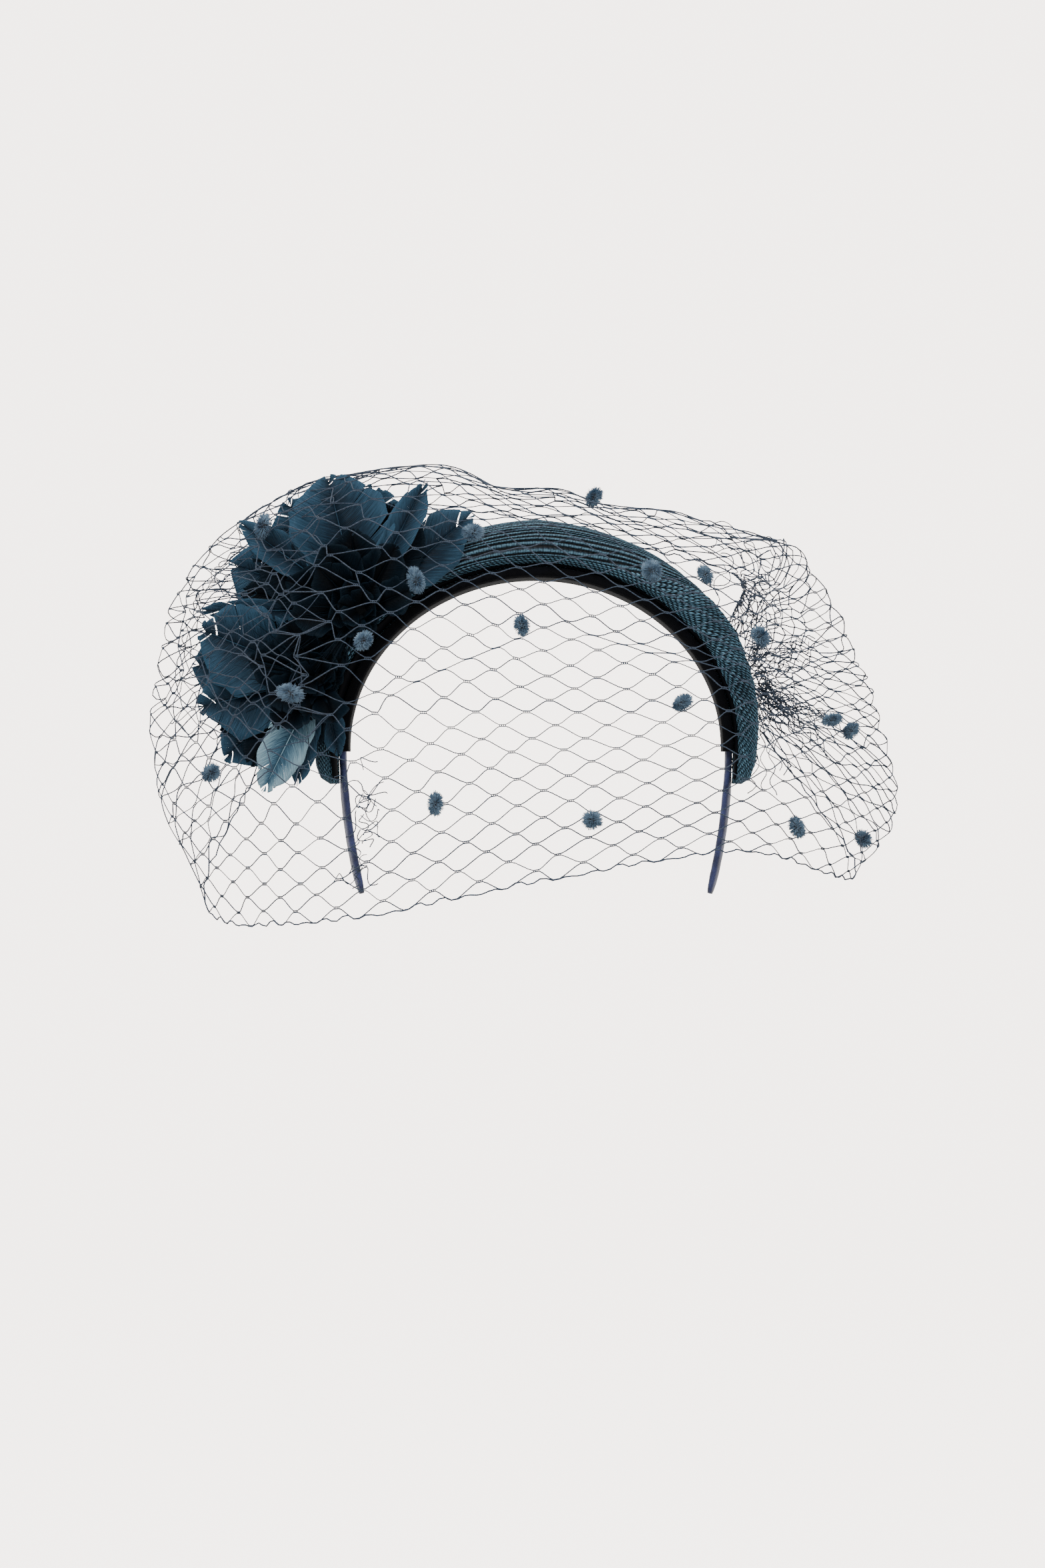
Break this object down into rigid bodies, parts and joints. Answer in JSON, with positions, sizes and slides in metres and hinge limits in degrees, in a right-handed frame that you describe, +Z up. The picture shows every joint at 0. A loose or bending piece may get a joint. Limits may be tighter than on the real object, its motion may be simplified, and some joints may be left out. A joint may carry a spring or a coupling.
{
  "type": "fascinator hat with veil",
  "caption": "Padded straw halo headband with curled feather flowers and a spotted net veil, worn across the crown of the head.",
  "frame": {"origin": "the middle of the lining's underside at the crown, where the hat sits on the head", "axes": "+Z up, the wearer faces -Y, +X to the right of someone who looks at the wearer's face; -Z points into the head"},
  "size_m": [0.317, 0.1456, 0.1969],
  "materials": {
    "indigo_satin": "woven satin, soft sheen",
    "black_satin": "near-black woven lining",
    "teal_straw": "pleated straw braid with a small stitch",
    "dark_felt": "matt felt",
    "teal_feather": "curled feather with a soft sheen",
    "net_thread": "fine twisted thread",
    "chenille": "fuzzy chenille pile"
  },
  "bodies": {
    "root": {"headband": "indigo_satin", "halo_lining": "black_satin", "halo_roll": "teal_straw", "flower_stem_upper": "dark_felt", "flower_stem_lower": "dark_felt", "feather_upper_arched": "teal_feather", "feather_upper_brush": "teal_feather", "feather_upper_crown": "teal_feather", "feather_upper_top": "teal_feather", "feather_upper_shoulder": "teal_feather", "feather_upper_curl": "teal_feather", "feather_upper_dark": "teal_feather", "feather_upper_sliver": "teal_feather", "feather_upper_inner_right": "teal_feather", "feather_upper_inner_top": "teal_feather", "feather_lower_broad": "teal_feather", "feather_lower_ragged": "teal_feather", "feather_lower_left": "teal_feather", "feather_lower_hip": "teal_feather", "feather_lower_pale": "teal_feather", "feather_lower_tail": "teal_feather", "feather_lower_small": "teal_feather", "feather_lower_inner_left": "teal_feather", "feather_lower_inner_low": "teal_feather", "veil_net": "net_thread", "chenille_spot_01": "chenille", "chenille_spot_02": "chenille", "chenille_spot_03": "chenille", "chenille_spot_04": "chenille", "chenille_spot_05": "chenille", "chenille_spot_06": "chenille", "chenille_spot_07": "chenille", "chenille_spot_08": "chenille", "chenille_spot_09": "chenille", "chenille_spot_10": "chenille", "chenille_spot_11": "chenille", "chenille_spot_12": "chenille", "chenille_spot_13": "chenille", "chenille_spot_14": "chenille", "chenille_spot_15": "chenille", "chenille_spot_16": "chenille", "chenille_spot_17": "chenille", "chenille_spot_18": "chenille"}
  },
  "joints": []
}
